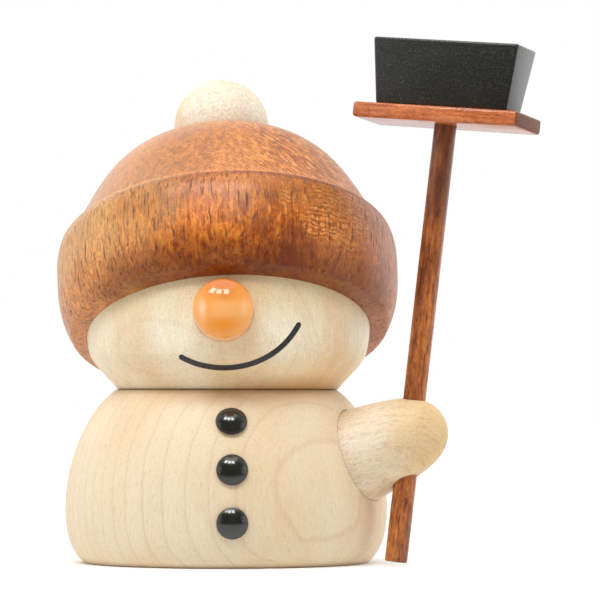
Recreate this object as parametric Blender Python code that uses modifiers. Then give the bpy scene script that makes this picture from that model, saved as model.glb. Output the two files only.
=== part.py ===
"""Wooden snowman figure holding a broom, as an assembly of turned and sawn pieces.

Metres, +Z up. The origin is the centre of the flat base, the nose points along -Y, and the
broom stands on the +X side. Turned pieces are revolved outlines; each is modelled about the
+Z axis of an empty, which carries the piece to its place.
"""

from math import asin, cos, pi, radians, sin, sqrt

import bpy

MM = 0.001
GAP = 0.3 * MM  # clearance between two pieces that meet

# Body: a rounded drum on a flat base
BASE_R = 23.1 * MM
BELLY_R = 26.3 * MM
BELLY_Z = 9.0 * MM
NECK_R = 18.0 * MM
NECK_Z = 28.2 * MM
SHOULDER_OUT, SHOULDER_DROP = 4.0 * MM, 2.6 * MM  # slope of the side at the neck
SHOULDER_LIFT = 8.8 * MM  # how far above the belly the side stays upright
FOOT_LIFT, FOOT_OUT = 5.8 * MM, 2.8 * MM  # the same below it, and the foot's flare
FOOT_TURN = 2.0 * MM

# Head: a ball on a short flare
HEAD_R = 23.3 * MM
HEAD_Z = 39.5 * MM
HEAD_X = 0.25 * MM  # the hand-bored neck hole is this far right of the body's axis
FLARE_TOP = radians(-13)  # where the flare meets the ball, from the ball's centre
FLARE_RUN = 2.0 * MM
FLARE_FOOT = (1.6 * MM, 2.1 * MM)  # out from and up from the neck

# Hat: brim and crown turned in one, tipped back and a little to the left
HAT_X = 0.5 * MM
HAT_TIP_BACK = radians(23.0)
HAT_TIP_LEFT = radians(2.9)
HAT_SEAT_R = HEAD_R + 0.5 * MM
RIM_Z = -2.6 * MM  # along the hat's axis, from the ball's centre
LIP_R = 25.9 * MM
LIP_RISE = 0.6 * MM
BRIM_R = 28.05 * MM
BRIM_WIDEST = 9.5 * MM
SHOULDER_RISE = 4.6 * MM
SHOULDER_IN = 1.5 * MM
GROOVE = 0.45 * MM
BRIM_LIFT = 5.5 * MM
LIP_SLOPE = (1.9 * MM, 3.6 * MM)
CROWN_H = 18.2 * MM
CROWN_FLAT = 19.4 * MM
CROWN_SLOPE = (5.7 * MM, 9.35 * MM)  # in from and up from the groove

POMPOM_R = 7.9 * MM
POMPOM_Z = 35.8 * MM  # along the hat's axis, from the ball's centre

# Nose: a plug with a domed front, tipped up a little
NOSE_R = 4.75 * MM
NOSE_X = 0.0 * MM
NOSE_Z = 40.5 * MM
NOSE_TIP_UP = radians(5)
NOSE_SUNK = 5.0 * MM
NOSE_WALL = 2.6 * MM  # straight side outside the head
NOSE_DOME = 2.6 * MM
NOSE_EDGE = 1.5 * MM

# Buttons: domed pins, in a column that stands a little right of the nose
BUTTON_R = 2.5 * MM
BUTTON_DOME = 1.3 * MM
BUTTON_PIN_R = 1.0 * MM
BUTTON_PIN_L = 5.0 * MM
BUTTON_TURN = radians(3.2)
BUTTON_HEIGHTS = {"button_top": 23.0 * MM, "button_middle": 15.5 * MM, "button_bottom": 7.2 * MM}

# Arm: an egg-shaped mitten in a round pocket
ARM_ROOT = (21.85 * MM, -9.3 * MM, 17.6 * MM)
ARM_FORWARD = radians(29.5)
ARM_RISE = radians(20.1)
ARM_R = 7.7 * MM
ARM_L = 15.7 * MM
ARM_SUNK = 2.0 * MM
ARM_TIP = 0.95 * MM  # the rounded end is this much narrower than the root
ARM_WAIST = (1.0 * MM, 6.2 * MM)

# Broom: stick, board and bristle block
GRIP = (29.7 * MM, -13.75 * MM, 20.9 * MM)  # where the stick crosses the arm's axis
STICK_LEAN_RIGHT = radians(6.6)
STICK_LEAN_BACK = radians(1.5)
BOARD_YAW = radians(-26)
STICK_R = 1.8 * MM
STICK_END_ROUND = 0.35 * MM
STICK_FOOT = -20.4 * MM  # along the stick, from the grip
BOARD_Z = 50.0 * MM  # underside, along the stick from the grip
BOARD_L, BOARD_W, BOARD_T = 28.6 * MM, 10.8 * MM, 2.5 * MM
BOARD_EDGE = 0.4 * MM
BLOCK_FOOT = (22.8 * MM, 6.2 * MM)
BLOCK_TOP = (25.3 * MM, 8.1 * MM)
BLOCK_H = 10.8 * MM
BLOCK_EDGE = 0.25 * MM

# Dowels inside the figure
NECK_DOWEL_R, NECK_DOWEL_L = 3.0 * MM, 20.0 * MM
HAT_DOWEL_R, HAT_DOWEL_FROM, HAT_DOWEL_TO = 1.5 * MM, 14.0 * MM, 33.5 * MM
ARM_DOWEL_R, ARM_DOWEL_IN, ARM_DOWEL_OUT = 1.5 * MM, 8.0 * MM, 5.0 * MM
DOWEL_CHAMFER = 0.3 * MM
STICK_IN_BLOCK = 4.0 * MM

RUN_OUT = 5.0 * MM  # how far a drill goes past an open end
THROUGH = 25.0 * MM  # half the length of a drill that goes right through
FRAME_SIZE = 5.0 * MM  # how large the empties are drawn

LARGE_STEPS, MEDIUM_STEPS, SMALL_STEPS = 40, 28, 16
SHARP = radians(35)


def clear_scene():
    for obj in list(bpy.data.objects):
        bpy.data.objects.remove(obj, do_unlink=True)


def new_collection(name, hidden=False):
    collection = bpy.data.collections.new(name)
    bpy.context.scene.collection.children.link(collection)
    collection.hide_render = hidden
    return collection


clear_scene()
PARTS = new_collection("wooden_snowman")
CUTTERS = new_collection("cutters", hidden=True)


# Outlines, as lists of (radius, height)


def bezier(start, toward, from_, end, count):
    """Points on a cubic curve, both ends included."""
    points = []
    for i in range(count + 1):
        t = i / count
        weights = ((1 - t) ** 3, 3 * t * (1 - t) ** 2, 3 * t * t * (1 - t), t**3)
        corners = (start, toward, from_, end)
        points.append(tuple(sum(w * c[k] for w, c in zip(weights, corners)) for k in (0, 1)))
    return points


def arc(centre_z, radius, start, end, count, centre_r=0.0, height=None):
    """Points on a circle or ellipse round (centre_r, centre_z), from angle start to angle end."""
    tall = radius if height is None else height
    angles = (start + (end - start) * i / count for i in range(count + 1))
    return [(centre_r + radius * cos(a), centre_z + tall * sin(a)) for a in angles]


def body_outline():
    """The drum's side, from the neck down to the base."""
    shoulder = bezier(
        (NECK_R, NECK_Z - GAP / 2),
        (NECK_R + SHOULDER_OUT, NECK_Z - SHOULDER_DROP),
        (BELLY_R, BELLY_Z + SHOULDER_LIFT),
        (BELLY_R, BELLY_Z),
        10,
    )
    foot = bezier(
        (BELLY_R, BELLY_Z), (BELLY_R, FOOT_LIFT), (BASE_R + FOOT_OUT, FOOT_TURN), (BASE_R, 0.0), 5
    )
    return shoulder + foot[1:]


def head_outline():
    """The ball down to the flare, then the flare down to the neck."""
    ball = arc(HEAD_Z, HEAD_R, pi / 2, FLARE_TOP, 12)
    flare_r, flare_z = ball[-1]
    flare = bezier(
        (flare_r, flare_z),
        (flare_r + FLARE_RUN * sin(FLARE_TOP), flare_z - FLARE_RUN * cos(FLARE_TOP)),
        (NECK_R + FLARE_FOOT[0], NECK_Z + FLARE_FOOT[1]),
        (NECK_R, NECK_Z + GAP / 2),
        4,
    )
    return ball + flare[1:]


def hat_outline():
    """Crown, groove, brim and lip from the top down, then the round seat up to the axis."""
    groove_z = BRIM_WIDEST + SHOULDER_RISE
    crown_r = BRIM_R - SHOULDER_IN - GROOVE
    crown_top = groove_z + CROWN_H
    crown = bezier(
        (0.0, crown_top),
        (CROWN_FLAT, crown_top),
        (crown_r - CROWN_SLOPE[0], groove_z + CROWN_SLOPE[1]),
        (crown_r, groove_z),
        12,
    )
    centre_r = BRIM_R - SHOULDER_IN
    shoulder = arc(BRIM_WIDEST, SHOULDER_IN, pi / 2, 0.0, 4, centre_r, SHOULDER_RISE)
    lip_z = RIM_Z + LIP_RISE
    brim = bezier(
        (BRIM_R, BRIM_WIDEST),
        (BRIM_R, BRIM_WIDEST - BRIM_LIFT),
        (LIP_R + LIP_SLOPE[0], lip_z + LIP_SLOPE[1]),
        (LIP_R, lip_z),
        6,
    )
    seat = arc(0.0, HAT_SEAT_R, asin(RIM_Z / HAT_SEAT_R), pi / 2, 10)
    return crown + shoulder + brim[1:] + seat


def nose_outline():
    """A shallow dome, a rounded edge, and the straight plug behind it; z = 0 is on the head."""
    edge_r = NOSE_R - NOSE_EDGE
    dome_radius = (edge_r**2 + NOSE_DOME**2 - NOSE_EDGE**2) / (2 * (NOSE_DOME - NOSE_EDGE))
    meet = pi / 2 - asin(edge_r / (dome_radius - NOSE_EDGE))  # where the dome runs into the edge
    dome = arc(NOSE_WALL + NOSE_DOME - dome_radius, dome_radius, pi / 2, meet, 5)
    edge = arc(NOSE_WALL, NOSE_EDGE, meet, 0.0, 3, centre_r=edge_r)
    return dome + edge[1:] + [(NOSE_R, -NOSE_SUNK), (0.0, -NOSE_SUNK)]


def button_outline():
    """A dome with a pin behind it; z = 0 is on the body."""
    dome_radius = (BUTTON_R**2 + BUTTON_DOME**2) / (2 * BUTTON_DOME)
    top = GAP + BUTTON_DOME
    dome = arc(top - dome_radius, dome_radius, pi / 2, pi / 2 - asin(BUTTON_R / dome_radius), 5)
    pin = [(BUTTON_PIN_R, GAP), (BUTTON_PIN_R, -BUTTON_PIN_L), (0.0, -BUTTON_PIN_L)]
    return dome + pin


def arm_outline():
    """The mitten's round end back to its base, and the straight stub in the pocket."""
    mitten = bezier(
        (0.0, ARM_L),
        (ARM_R - ARM_TIP, ARM_L),
        (ARM_R - ARM_WAIST[0], ARM_WAIST[1]),
        (ARM_R, 0.0),
        10,
    )
    return mitten + [(ARM_R, -ARM_SUNK), (0.0, -ARM_SUNK)]


# Places


def frame(name, location, rotation, order="XYZ", parent=None):
    """An empty that carries pieces; its +Z is the axis they are turned about."""
    empty = bpy.data.objects.new(name, None)
    empty.empty_display_size = FRAME_SIZE
    empty.location = location
    empty.rotation_mode = order
    empty.rotation_euler = rotation
    empty.parent = parent
    PARTS.objects.link(empty)
    return empty


def aimed(azimuth, elevation):
    """Euler angles that turn +Z to this azimuth (from +X) and this elevation."""
    return (0.0, pi / 2 - elevation, azimuth)


def on_body(height):
    """Radius of the body's side at a height, and the elevation of its outward normal."""
    outline = body_outline()
    for (r_up, z_up), (r_down, z_down) in zip(outline, outline[1:]):
        if z_down <= height <= z_up:
            share = (height - z_down) / (z_up - z_down)
            slope = (r_down - r_up) / (z_up - z_down)
            return r_down + share * (r_up - r_down), asin(slope / sqrt(1 + slope**2))
    raise ValueError(f"no side at {height}")


# Shapes


def add_mesh(name, points, edges, faces, collection):
    mesh = bpy.data.meshes.new(name)
    mesh.from_pydata(points, edges, faces)
    obj = bpy.data.objects.new(name, mesh)
    collection.objects.link(obj)
    return obj


def turned(name, outline, steps, parent=None, collection=PARTS):
    """A solid of revolution about the parent's +Z, from an outline that runs top to bottom."""
    ends = [(0.0, outline[0][1])] if outline[0][0] > 1e-9 else []
    tail = [(0.0, outline[-1][1])] if outline[-1][0] > 1e-9 else []
    points = [(max(r, 0.0), 0.0, z) for r, z in ends + outline + tail]
    edges = [(i, i + 1) for i in range(len(points) - 1)]
    obj = add_mesh(name, points, edges, [], collection)
    screw = obj.modifiers.new("Turn", "SCREW")
    screw.axis = "Z"
    screw.angle = 2 * pi
    screw.steps = screw.render_steps = steps
    screw.use_merge_vertices = True
    screw.merge_threshold = 1e-6
    screw.use_smooth_shade = True
    obj.parent = parent
    return obj


def rod(name, radius, low, high, parent=None, collection=PARTS, chamfer=0.0, steps=SMALL_STEPS):
    """A round rod along the parent's +Z, with chamfered ends."""
    inner = radius - chamfer
    outline = [(inner, high), (radius, high - chamfer), (radius, low + chamfer), (inner, low)]
    if not chamfer:
        outline = [(radius, high), (radius, low)]
    return turned(name, outline, steps, parent, collection)


def tapered_box(name, foot, top, height, base_z, edge, parent):
    """A box whose top and foot differ in size, with rounded edges."""
    bpy.ops.mesh.primitive_cube_add(size=1)
    obj = bpy.context.object
    obj.name = obj.data.name = name
    for vertex in obj.data.vertices:
        length, width = top if vertex.co.z > 0 else foot
        vertex.co.x *= length
        vertex.co.y *= width
        vertex.co.z = base_z + (height if vertex.co.z > 0 else 0.0)
    for collection in list(obj.users_collection):
        collection.objects.unlink(obj)
    PARTS.objects.link(obj)
    obj.parent = parent
    bevel = obj.modifiers.new("Edges", "BEVEL")
    bevel.width = edge
    bevel.segments = 3
    bevel.limit_method = "NONE"
    return obj


def cut(obj, cutter, solver="EXACT"):
    """Takes the cutter's shape out of the object."""
    cutter.hide_render = True
    cutter.display_type = "WIRE"
    difference = obj.modifiers.new(f"Cut {cutter.name}", "BOOLEAN")
    difference.operation = "DIFFERENCE"
    difference.solver = solver
    difference.object = cutter


def bore(obj, name, radius, low, high, place, steps=SMALL_STEPS, solver="EXACT"):
    """Drills a round hole along the +Z of a place."""
    drill = rod(name, radius, low, high, parent=place, collection=CUTTERS, steps=steps)
    cut(obj, drill, solver)


def finish(obj, colour, roughness, coat=0.0):
    """Its own Principled material, and smooth shading with sharp corners kept."""
    material = bpy.data.materials.new(obj.name)
    material.use_nodes = True
    shader = material.node_tree.nodes["Principled BSDF"]
    shader.inputs["Base Color"].default_value = (*colour, 1.0)
    shader.inputs["Roughness"].default_value = roughness
    shader.inputs["Metallic"].default_value = 0.0
    shader.inputs["Coat Weight"].default_value = coat
    material.diffuse_color = (*colour, 1.0)
    obj.data.materials.append(material)


MAPLE = (0.80, 0.66, 0.45)
RED_WOOD = (0.42, 0.16, 0.06)
ORANGE = (0.92, 0.38, 0.09)
BLACK = (0.012, 0.011, 0.011)
BRISTLE_BLACK = (0.045, 0.040, 0.036)

# Frames

neck = frame("neck_axis", (HEAD_X, 0.0, 0.0), (0.0, 0.0, 0.0))
hat_seat = frame("hat_axis", (HAT_X, 0.0, HEAD_Z), (-HAT_TIP_BACK, -HAT_TIP_LEFT, 0.0))
arm_root = frame("arm_axis", ARM_ROOT, aimed(-ARM_FORWARD, ARM_RISE))
grip = frame("broom_axis", GRIP, (-STICK_LEAN_BACK, STICK_LEAN_RIGHT, BOARD_YAW), order="ZXY")
nose_rise = asin((NOSE_Z - HEAD_Z) / HEAD_R)
nose_place = frame(
    "nose_axis",
    (NOSE_X, -HEAD_R * cos(nose_rise), NOSE_Z),
    aimed(-pi / 2, nose_rise + NOSE_TIP_UP),
)


# Body and what is fixed to it


def make_body():
    """The drum with its six holes. EXACT leaves open edges round the small pin holes here."""
    body = turned("body", body_outline(), LARGE_STEPS)
    half = NECK_DOWEL_L / 2
    holes = [
        ("cut_body_neck", NECK_DOWEL_R, NECK_Z - half, NECK_Z + half, neck, SMALL_STEPS),
        ("cut_arm_pocket", ARM_R, -ARM_SUNK, THROUGH, arm_root, MEDIUM_STEPS),
        ("cut_body_arm_dowel", ARM_DOWEL_R, -ARM_DOWEL_IN, 0.0, arm_root, SMALL_STEPS),
    ]
    for name, place in button_places.items():
        holes.append((f"cut_{name}", BUTTON_PIN_R, -BUTTON_PIN_L, RUN_OUT, place, SMALL_STEPS))
    for name, radius, low, high, place, steps in holes:
        bore(body, name, radius + GAP, low - GAP, high, place, steps, solver="MANIFOLD")
    finish(body, MAPLE, 0.45)


def place_button(name, height):
    radius, rise = on_body(height)
    location = (radius * sin(BUTTON_TURN), -radius * cos(BUTTON_TURN), height)
    return frame(f"{name}_axis", location, aimed(BUTTON_TURN - pi / 2, rise))


def make_arm():
    arm = turned("arm", arm_outline(), MEDIUM_STEPS, arm_root)
    bore(arm, "cut_arm_stick", STICK_R + GAP, -THROUGH, THROUGH, grip)
    bore(arm, "cut_arm_dowel", ARM_DOWEL_R + GAP, -RUN_OUT, ARM_DOWEL_OUT + GAP, arm_root)
    finish(arm, MAPLE, 0.45)
    ends = (-ARM_DOWEL_IN, ARM_DOWEL_OUT)
    dowel = rod("arm_dowel", ARM_DOWEL_R, *ends, arm_root, chamfer=DOWEL_CHAMFER)
    finish(dowel, MAPLE, 0.6)


button_places = {name: place_button(name, z) for name, z in BUTTON_HEIGHTS.items()}
make_body()
for button_name, button_place in button_places.items():
    finish(turned(button_name, button_outline(), SMALL_STEPS, button_place), BLACK, 0.12, 1.0)
make_arm()
neck_dowel = rod(
    "neck_dowel",
    NECK_DOWEL_R,
    NECK_Z - NECK_DOWEL_L / 2,
    NECK_Z + NECK_DOWEL_L / 2,
    neck,
    chamfer=DOWEL_CHAMFER,
)
finish(neck_dowel, MAPLE, 0.6)


# Head and what turns with it


def make_head():
    head = turned("head", head_outline(), LARGE_STEPS, neck)
    top = NECK_Z + NECK_DOWEL_L / 2 + GAP
    bore(head, "cut_head_neck", NECK_DOWEL_R + GAP, NECK_Z - RUN_OUT, top, neck)
    bore(head, "cut_head_nose", NOSE_R + GAP, -NOSE_SUNK - GAP, RUN_OUT, nose_place, MEDIUM_STEPS)
    dowel_out = HEAD_R + RUN_OUT
    bore(head, "cut_head_dowel", HAT_DOWEL_R + GAP, HAT_DOWEL_FROM - GAP, dowel_out, hat_seat)
    finish(head, MAPLE, 0.45)


def make_hat():
    hat = turned("hat", hat_outline(), LARGE_STEPS, hat_seat)
    seat = arc(POMPOM_Z, POMPOM_R + GAP, pi / 2, -pi / 2, 14)
    cut(hat, turned("cut_pompom_seat", seat, MEDIUM_STEPS, hat_seat, CUTTERS))
    bore(hat, "cut_hat_dowel", HAT_DOWEL_R + GAP, HAT_SEAT_R - RUN_OUT, POMPOM_Z, hat_seat)
    finish(hat, RED_WOOD, 0.35, 0.3)


def make_pompom():
    ball = arc(POMPOM_Z, POMPOM_R, pi / 2, -pi / 2, 14)
    pompom = turned("pompom", ball, MEDIUM_STEPS, hat_seat)
    low = POMPOM_Z - POMPOM_R - RUN_OUT
    bore(pompom, "cut_pompom_dowel", HAT_DOWEL_R + GAP, low, HAT_DOWEL_TO + GAP, hat_seat)
    finish(pompom, MAPLE, 0.45)


make_head()
make_hat()
make_pompom()
finish(turned("nose", nose_outline(), MEDIUM_STEPS, nose_place), ORANGE, 0.15, 1.0)
hat_dowel_ends = (HAT_DOWEL_FROM, HAT_DOWEL_TO)
hat_dowel = rod("hat_dowel", HAT_DOWEL_R, *hat_dowel_ends, hat_seat, chamfer=DOWEL_CHAMFER)
finish(hat_dowel, MAPLE, 0.6)


# Broom


def make_broom():
    block_z = BOARD_Z + BOARD_T + GAP
    stick_top = block_z + STICK_IN_BLOCK
    stick = rod("broom_stick", STICK_R, STICK_FOOT, stick_top, grip, chamfer=STICK_END_ROUND)
    finish(stick, RED_WOOD, 0.4, 0.2)
    size = (BOARD_L, BOARD_W)
    board = tapered_box("broom_board", size, size, BOARD_T, BOARD_Z, BOARD_EDGE, grip)
    bore(board, "cut_board_stick", STICK_R + GAP, BOARD_Z - RUN_OUT, BOARD_Z + RUN_OUT, grip)
    finish(board, RED_WOOD, 0.4, 0.2)
    block = tapered_box("bristle_block", BLOCK_FOOT, BLOCK_TOP, BLOCK_H, block_z, BLOCK_EDGE, grip)
    bore(block, "cut_block_stick", STICK_R + GAP, BOARD_Z, stick_top + GAP, grip)
    finish(block, BRISTLE_BLACK, 0.7)


make_broom()

for part in PARTS.objects:
    if part.type == "MESH":
        part.data.shade_smooth()
        part.data.set_sharp_from_angle(angle=SHARP)
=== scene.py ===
"""Looks for the wooden snowman: fine turned meshes, procedural wood, studio light and camera.

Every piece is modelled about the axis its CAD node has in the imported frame. Lengths are metres.
"""

from math import asin, atan2, cos, hypot, pi, radians, sin, sqrt

import bmesh
import bpy
import numpy as np
from mathutils import Matrix, Vector


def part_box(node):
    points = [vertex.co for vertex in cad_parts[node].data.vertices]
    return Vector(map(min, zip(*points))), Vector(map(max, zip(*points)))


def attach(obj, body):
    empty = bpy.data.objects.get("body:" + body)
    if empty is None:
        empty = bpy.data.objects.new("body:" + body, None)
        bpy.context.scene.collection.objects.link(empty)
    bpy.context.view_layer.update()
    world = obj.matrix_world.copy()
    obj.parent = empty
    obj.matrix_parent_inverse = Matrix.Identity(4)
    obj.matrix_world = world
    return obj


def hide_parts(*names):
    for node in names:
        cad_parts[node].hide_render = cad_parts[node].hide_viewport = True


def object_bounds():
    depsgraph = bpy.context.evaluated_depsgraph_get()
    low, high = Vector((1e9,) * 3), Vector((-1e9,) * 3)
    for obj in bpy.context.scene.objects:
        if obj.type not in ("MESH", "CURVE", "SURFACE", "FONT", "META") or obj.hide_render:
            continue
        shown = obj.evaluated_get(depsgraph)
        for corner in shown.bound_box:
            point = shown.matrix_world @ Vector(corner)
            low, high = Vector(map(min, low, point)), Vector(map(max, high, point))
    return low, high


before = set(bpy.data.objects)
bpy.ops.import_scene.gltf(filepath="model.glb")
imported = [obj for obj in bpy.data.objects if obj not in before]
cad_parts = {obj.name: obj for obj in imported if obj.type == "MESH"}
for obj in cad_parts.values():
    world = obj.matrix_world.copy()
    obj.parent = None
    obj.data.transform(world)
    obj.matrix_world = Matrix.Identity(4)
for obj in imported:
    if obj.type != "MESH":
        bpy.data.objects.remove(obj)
cad_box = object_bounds()

MM = 0.001
SEAM = 0.08 * MM  # visible gap between pieces that touch
NECK_SEAM = NOSE_SEAM = 0.02 * MM
FREE = 0.3 * MM  # gap inside hidden bores
SOFT_EDGE = 0.12 * MM  # sanded corners
PAST, FAR_PAST = 5.0 * MM, 20.0 * MM  # how far a drill runs out past a surface

# Body and head
BASE_R = 23.1 * MM
BELLY_R = 26.3 * MM
BELLY_Z = 9.0 * MM
NECK_R = 18.0 * MM
NECK_Z = 28.2 * MM
HEAD_R = 23.3 * MM
HEAD_Z = 39.5 * MM
FLARE_TOP = radians(-13)

# Hat, along its own axis from the ball's centre
RIM_Z = -2.6 * MM
LIP_R, LIP_Z = 25.9 * MM, -2.0 * MM
BRIM_R, BRIM_WIDEST = 28.05 * MM, 9.5 * MM
SHOULDER_RISE, SHOULDER_IN = 4.6 * MM, 1.5 * MM
GROOVE, GROOVE_Z = 0.45 * MM, BRIM_WIDEST + SHOULDER_RISE
CROWN_H = 18.2 * MM
POMPOM_R, POMPOM_Z = 7.9 * MM, 35.8 * MM

# Nose, buttons, arm
NOSE_R, NOSE_WALL, NOSE_DOME, NOSE_EDGE, NOSE_SUNK = 4.75 * MM, 2.6 * MM, 2.6 * MM, 1.5 * MM, 5.0 * MM
BUTTON_R, BUTTON_DOME, BUTTON_RIM = 2.5 * MM, 1.3 * MM, 0.2 * MM
PIN_R, PIN_L = 1.0 * MM, 5.0 * MM
ARM_R, ARM_L, ARM_SUNK = 7.7 * MM, 15.7 * MM, 2.0 * MM
ARM_DOWEL_R, ARM_DOWEL_IN, ARM_DOWEL_OUT = 1.5 * MM, 8.0 * MM, 5.0 * MM
NECK_DOWEL_R, NECK_DOWEL_HALF = 3.0 * MM, 10.0 * MM
HAT_DOWEL_R, HAT_DOWEL_FROM, HAT_DOWEL_TO = 1.5 * MM, 14.0 * MM, 33.5 * MM

# Broom, along the stick from the grip
STICK_R, STICK_FOOT, STICK_EDGE = 1.8 * MM, -20.4 * MM, 0.35 * MM
BOARD_Z, BOARD, BOARD_EDGE = 50.0 * MM, (28.6 * MM, 10.8 * MM, 2.5 * MM), 0.55 * MM
BLOCK_FOOT, BLOCK_TOP, BLOCK_H = (22.8 * MM, 6.2 * MM), (25.3 * MM, 8.1 * MM), 10.8 * MM
BLOCK_Z, BLOCK_EDGE = BOARD_Z + BOARD[2] + 0.05 * MM, 0.45 * MM
STICK_TOP = BOARD_Z + BOARD[2] + 4.3 * MM

# Smile: a curve seen from the front, in (x, z) from the ball's centre
SMILE = ((-7.3 * MM, -6.0 * MM), (-2.2 * MM, -9.25 * MM), (7.7 * MM, -8.9 * MM), (11.8 * MM, -0.7 * MM))
SMILE_W = 0.86 * MM
SMILE_PROUD, SMILE_UNDER = 0.05 * MM, 0.15 * MM

LARGE_STEPS, MEDIUM_STEPS, SMALL_STEPS = 288, 160, 96  # steps round a turned piece
ON_AXIS = 1e-7  # radii below this are points on the axis
AIM = Vector((0.0, 0.0, 0.035))  # where the lights point
CAMERA_AT = Vector((0.01206, -0.574, 0.0265))
CAMERA_PITCH = atan2(100, 3500)  # how far up it looks


# Places read from the frame


def axis_of(node, toward=(0, 0, 1)):
    """The two ends of a turned node's axis; the second one lies further toward."""
    corners = [v.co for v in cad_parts[node].data.vertices]
    points = np.unique(np.round(corners, 6), axis=0)
    centre = points.mean(axis=0)
    spread, directions = np.linalg.eigh(np.cov((points - centre).T))
    odd = 2 if spread[2] - spread[1] > spread[1] - spread[0] else 0
    axis = directions[:, odd] * np.sign(directions[:, odd] @ np.array(toward))
    along = (points - centre) @ axis
    return Vector(centre + axis * along.min()), Vector(centre + axis * along.max())


def place_on(origin, axis, across=(1, 0, 0)):
    """A place at origin whose +Z is the axis and whose +X leans across."""
    z = Vector(axis).normalized()
    x = (Vector(across) - z * z.dot(Vector(across))).normalized()
    made = Matrix((x, z.cross(x), z)).transposed().to_4x4()
    made.translation = origin
    return made


def place_from(node, low_end, toward=(0, 0, 1)):
    """A place on a turned node's axis, whose near end comes at the height low_end."""
    near, far = axis_of(node, toward)
    axis = (far - near).normalized()
    return place_on(near - axis * low_end, axis)


body_low, body_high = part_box("body")
body_place = Matrix.Translation(((body_low.x + body_high.x) / 2, (body_low.y + body_high.y) / 2, 0.0))
neck_near = axis_of("neck_dowel")[0]
neck_place = Matrix.Translation((neck_near.x, neck_near.y, 0.0))
hat_place = place_from("hat_dowel", HAT_DOWEL_FROM)
arm_place = place_from("arm_dowel", -ARM_DOWEL_IN, toward=(1, 0, 0))
nose_place = place_from("nose", -NOSE_SUNK, toward=(0, -1, 0))
BUTTONS = ("button_top", "button_middle", "button_bottom")
button_places = {name: place_from(name, -PIN_L, toward=(0, -1, 0)) for name in BUTTONS}
board_points = np.array([v.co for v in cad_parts["broom_board"].data.vertices])
board_long = np.linalg.eigh(np.cov(board_points.T))[1][:, 2]
board_long = board_long * np.sign(board_long[0])
stick_near = axis_of("broom_stick")[0]
stick_axis = (axis_of("broom_stick")[1] - stick_near).normalized()
broom_place = place_on(stick_near - stick_axis * STICK_FOOT, stick_axis, across=board_long)
board_middle = Matrix.Translation((0, 0, BOARD_Z + BOARD[2] / 2))
board_place = broom_place @ board_middle @ Matrix.Rotation(pi / 2, 4, "Y")


# Outlines, as lists of (radius, height) from the top down


def bezier(start, toward, from_, end, count):
    """Points along a cubic curve that leaves start toward one handle and reaches end from another."""
    handles = (start, toward, from_, end)
    points = []
    for i in range(count + 1):
        t = i / count
        weights = ((1 - t) ** 3, 3 * t * (1 - t) ** 2, 3 * t * t * (1 - t), t**3)
        points.append(tuple(sum(w * h[k] for w, h in zip(weights, handles)) for k in (0, 1)))
    return points


def arc(centre_z, radius, start, end, count, centre_r=0.0, height=None):
    """Points along a round arc, or along an oval one of this height, between two angles."""
    tall = radius if height is None else height
    angles = (start + (end - start) * i / count for i in range(count + 1))
    return [(max(centre_r + radius * cos(a), 0.0), centre_z + tall * sin(a)) for a in angles]


def softened(outline, corner, radius, count=5):
    """The outline with its point at this index rounded off."""
    sharp = Vector(outline[corner])
    before, after = outline[:corner], outline[corner + 1 :]
    while len(before) > 1 and (Vector(before[-1]) - sharp).length < radius:
        before = before[:-1]
    while len(after) > 1 and (Vector(after[0]) - sharp).length < radius:
        after = after[1:]
    start = sharp + (Vector(before[-1]) - sharp).normalized() * radius
    end = sharp + (Vector(after[0]) - sharp).normalized() * radius
    steps = [i / count for i in range(count + 1)]
    bend = [tuple(start * (1 - t) ** 2 + sharp * 2 * t * (1 - t) + end * t * t) for t in steps]
    return before + bend + after


def body_outline():
    top = NECK_Z - NECK_SEAM / 2
    belly = (BELLY_R, BELLY_Z)
    slope = (NECK_R + 4.0 * MM, NECK_Z - 2.6 * MM)
    shoulder = bezier((NECK_R, top), slope, (BELLY_R, BELLY_Z + 8.8 * MM), belly, 40)
    foot = bezier(belly, (BELLY_R, 5.8 * MM), (BASE_R + 2.8 * MM, 2.0 * MM), (BASE_R, 0.0), 24)
    outline = [(0.0, top)] + shoulder + foot[1:] + [(0.0, 0.0)]
    return softened(softened(outline, len(outline) - 2, SOFT_EDGE), 1, SOFT_EDGE)


def head_outline():
    ball = arc(HEAD_Z, HEAD_R, pi / 2, FLARE_TOP, 72)
    r, z = ball[-1]
    flare = bezier(
        (r, z),
        (r + 2.0 * MM * sin(FLARE_TOP), z - 2.0 * MM * cos(FLARE_TOP)),
        (NECK_R + 1.6 * MM, NECK_Z + 2.1 * MM),
        (NECK_R, NECK_Z + NECK_SEAM / 2),
        24,
    )
    outline = ball + flare[1:] + [(0.0, NECK_Z + NECK_SEAM / 2)]
    return softened(outline, len(outline) - 2, SOFT_EDGE)


def hat_outline():
    shoulder_r = BRIM_R - SHOULDER_IN
    crown_r = shoulder_r - GROOVE
    crown_top = GROOVE_Z + CROWN_H
    flat_to, steep_from = (19.4 * MM, crown_top), (crown_r - 5.7 * MM, GROOVE_Z + 9.35 * MM)
    crown = bezier((0.0, crown_top), flat_to, steep_from, (crown_r, GROOVE_Z), 64)
    notch = [(crown_r - 0.1 * MM, GROOVE_Z - 0.3 * MM)]
    shoulder = arc(BRIM_WIDEST, SHOULDER_IN, pi / 2, 0.0, 24, centre_r=shoulder_r, height=SHOULDER_RISE)
    bulge, tuck = (BRIM_R, BRIM_WIDEST - 5.5 * MM), (LIP_R + 1.9 * MM, LIP_Z + 3.6 * MM)
    brim = bezier((BRIM_R, BRIM_WIDEST), bulge, tuck, (LIP_R, LIP_Z), 32)
    outline = crown + notch + shoulder + brim[1:] + [(sqrt(HEAD_R**2 - RIM_Z**2), RIM_Z), (0.0, RIM_Z)]
    outline = softened(outline, len(outline) - 3, 0.5 * MM)
    return softened(outline, len(crown) + 1, 0.2 * MM, 4)


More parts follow.
